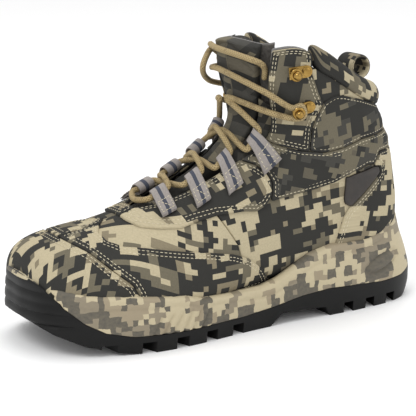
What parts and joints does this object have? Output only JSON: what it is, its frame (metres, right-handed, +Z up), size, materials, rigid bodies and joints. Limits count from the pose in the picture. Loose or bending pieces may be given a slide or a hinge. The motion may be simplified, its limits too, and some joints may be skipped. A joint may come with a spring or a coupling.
{
  "type": "insulated hunting boot",
  "caption": "Laced insulated hunting boot in camouflage fabric, with a lugged rubber sole, webbing lace loops, brass ball hooks and a padded collar.",
  "frame": {"origin": "centre of the boot's footprint box, on the ground", "axes": "+Z up, toe towards -Y, lateral side towards +X; the part is a left boot"},
  "size_m": [0.1122, 0.304, 0.1936],
  "materials": {
    "outsole_rubber": "matt black lugged rubber",
    "midsole_foam": "moulded foam with a printed skin, satin",
    "camo_overlay": "coated camo fabric, matt",
    "camo_fabric": "woven camo fabric, matt",
    "dark_camo": "dark camo fabric, matt",
    "label_rubber": "moulded rubber patch, satin",
    "webbing": "woven webbing, matt",
    "hook_brass": "antiqued brass, polished edges",
    "lace_cord": "braided round cord, matt",
    "bootie_fleece": "quilted insulation under a fabric face",
    "footbed_foam": "fabric-faced foam",
    "board_felt": "needled felt board",
    "stiffener_sheet": "thermoplastic sheet",
    "shank_steel": "plain steel"
  },
  "bodies": {
    "boot": {"outsole": "outsole_rubber", "midsole": "midsole_foam", "toe_cap": "camo_overlay", "forefoot_overlay_lateral": "camo_overlay", "forefoot_overlay_medial": "camo_overlay", "eyestay_lateral": "camo_overlay", "eyestay_medial": "camo_overlay", "hook_facing_lateral": "camo_overlay", "hook_facing_medial": "camo_overlay", "heel_overlay": "camo_overlay", "vamp": "camo_fabric", "quarter_lateral": "camo_fabric", "quarter_medial": "camo_fabric", "collar_pad": "camo_fabric", "ankle_band_lateral": "dark_camo", "ankle_band_medial": "dark_camo", "ankle_panel_lateral": "dark_camo", "ankle_panel_medial": "dark_camo", "tongue_gusset_lateral": "dark_camo", "tongue_gusset_medial": "dark_camo", "side_label": "label_rubber", "lace_loop_lateral_1": "webbing", "lace_loop_lateral_2": "webbing", "lace_loop_lateral_3": "webbing", "lace_loop_lateral_4": "webbing", "lace_loop_medial_1": "webbing", "lace_loop_medial_2": "webbing", "lace_loop_medial_3": "webbing", "lace_loop_medial_4": "webbing", "lace_hook_lateral_lower": "hook_brass", "lace_hook_lateral_upper": "hook_brass", "lace_hook_medial_lower": "hook_brass", "lace_hook_medial_upper": "hook_brass", "hook_rivet_lateral_lower": "hook_brass", "hook_rivet_lateral_upper": "hook_brass", "hook_rivet_medial_lower": "hook_brass", "hook_rivet_medial_upper": "hook_brass", "lace": "lace_cord", "insulated_bootie": "bootie_fleece", "lasting_board": "board_felt", "toe_puff": "stiffener_sheet", "heel_counter": "stiffener_sheet", "shank": "shank_steel"},
    "tongue_body": {"tongue": "dark_camo"},
    "footbed_body": {"footbed": "footbed_foam"},
    "pull_loop_body": {"heel_pull_loop": "camo_fabric"}
  },
  "joints": [
    {"name": "tongue_flex", "type": "hinge", "parent": "boot", "child": "tongue_body", "pos_m": [0, -0.074, 0.07], "axis": [1, 0, 0], "range_deg": [-1, 0]},
    {"name": "footbed_lift", "type": "hinge", "parent": "boot", "child": "footbed_body", "pos_m": [0, -0.128, 0.037], "axis": [1, 0, 0], "range_deg": [0, 4]},
    {"name": "pull_loop_flex", "type": "hinge", "parent": "boot", "child": "pull_loop_body", "pos_m": [0, 0.1075, 0.1589], "axis": [1, 0, 0], "range_deg": [-20, 20]}
  ]
}
